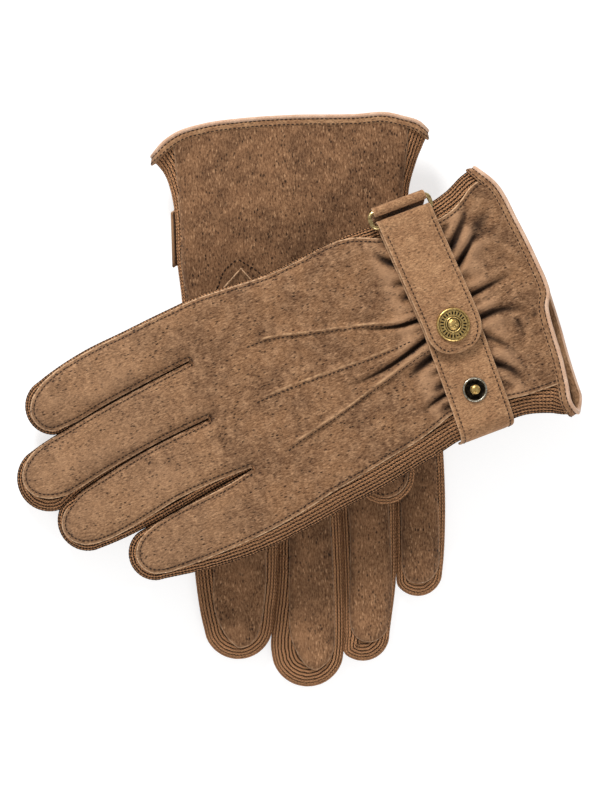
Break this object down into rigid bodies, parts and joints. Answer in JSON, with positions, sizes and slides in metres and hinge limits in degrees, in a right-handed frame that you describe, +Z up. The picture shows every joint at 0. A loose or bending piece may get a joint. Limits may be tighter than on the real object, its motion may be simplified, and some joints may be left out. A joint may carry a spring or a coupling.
{
  "type": "pair of driving gloves",
  "caption": "Pair of suede and knit driving gloves laid flat, one across the other, each with a wrist strap that turns back through a metal ring and closes with a snap.",
  "frame": {"origin": "bottom centre of the pair's bounding box, on the surface they lie on", "axes": "+Z up, out of the surface; +Y along the lower glove towards its cuff; +X to the right, towards the upper glove's cuff"},
  "size_m": [0.2456, 0.25, 0.0478],
  "materials": {
    "suede_leather": "brushed pigskin suede with groups of pores",
    "strap_leather": "brushed pigskin suede, a little lighter",
    "binding_leather": "smooth pale leather",
    "knit": "ribbed wool knit",
    "elastic": "woven elastic tape",
    "antique_brass": "worn antique brass",
    "dark_brass": "blackened brass"
  },
  "bodies": {
    "right_glove": {"right_back_panel": "suede_leather", "right_palm_panel": "suede_leather", "right_index_gusset": "knit", "right_index_middle_fourchette": "knit", "right_middle_ring_fourchette": "knit", "right_ring_little_fourchette": "knit", "right_little_gusset": "knit", "right_cuff_binding": "binding_leather", "right_wrist_elastic": "elastic", "right_thumb_quirk": "suede_leather", "right_strap_base": "strap_leather", "right_ring_keeper": "strap_leather", "right_snap_studs": "dark_brass", "right_stud_posts": "dark_brass"},
    "right_thumb": {"right_thumb_back": "suede_leather", "right_thumb_front": "suede_leather", "right_thumb_gusset": "knit"},
    "right_ring_body": {"right_ring": "antique_brass"},
    "right_strap_end": {"right_strap_flap": "strap_leather", "right_snap_cap": "antique_brass", "right_snap_socket": "antique_brass"},
    "left_glove": {"left_back_panel": "suede_leather", "left_palm_panel": "suede_leather", "left_index_gusset": "knit", "left_index_middle_fourchette": "knit", "left_middle_ring_fourchette": "knit", "left_ring_little_fourchette": "knit", "left_little_gusset": "knit", "left_cuff_binding": "binding_leather", "left_wrist_elastic": "elastic", "left_thumb_quirk": "suede_leather", "left_strap_base": "strap_leather", "left_ring_keeper": "strap_leather", "left_snap_studs": "dark_brass", "left_stud_posts": "dark_brass"},
    "left_thumb": {"left_thumb_back": "suede_leather", "left_thumb_front": "suede_leather", "left_thumb_gusset": "knit"},
    "left_ring_body": {"left_ring": "antique_brass"},
    "left_strap_end": {"left_strap_flap": "strap_leather", "left_snap_cap": "antique_brass", "left_snap_socket": "antique_brass"}
  },
  "joints": [
    {"name": "left_lift", "type": "slide", "parent": "right_glove", "child": "left_glove", "axis": [0, 0, 1], "range_m": [0, 0.08]},
    {"name": "right_thumb_swing", "type": "hinge", "parent": "right_glove", "child": "right_thumb", "pos_m": [-0.02641, 0.02876, 0.0053], "axis": [0, 0, -1], "range_deg": [0, 45]},
    {"name": "right_ring_tilt", "type": "hinge", "parent": "right_glove", "child": "right_ring_body", "pos_m": [-0.05211, 0.07367, 0.00623], "axis": [-0.0262, 0.9879, 0.1531], "range_deg": [-3, 3]},
    {"name": "right_strap_open", "type": "hinge", "parent": "right_glove", "child": "right_strap_end", "pos_m": [-0.04413, 0.07433, 0.00337], "axis": [-0.0262, 0.9879, 0.1531], "range_deg": [0, 180]},
    {"name": "left_thumb_swing", "type": "hinge", "parent": "left_glove", "child": "left_thumb", "pos_m": [0.01357, 0.04144, 0.0322], "axis": [0, 0, 1], "range_deg": [0, 35]},
    {"name": "left_ring_tilt", "type": "hinge", "parent": "left_glove", "child": "left_ring_body", "pos_m": [0.04564, 0.08561, 0.04245], "axis": [-0.9206, -0.3453, 0.1823], "range_deg": [-3, 3]},
    {"name": "left_strap_open", "type": "hinge", "parent": "left_glove", "child": "left_strap_end", "pos_m": [0.04895, 0.07831, 0.0453], "axis": [-0.9206, -0.3453, 0.1823], "range_deg": [0, 180]}
  ]
}
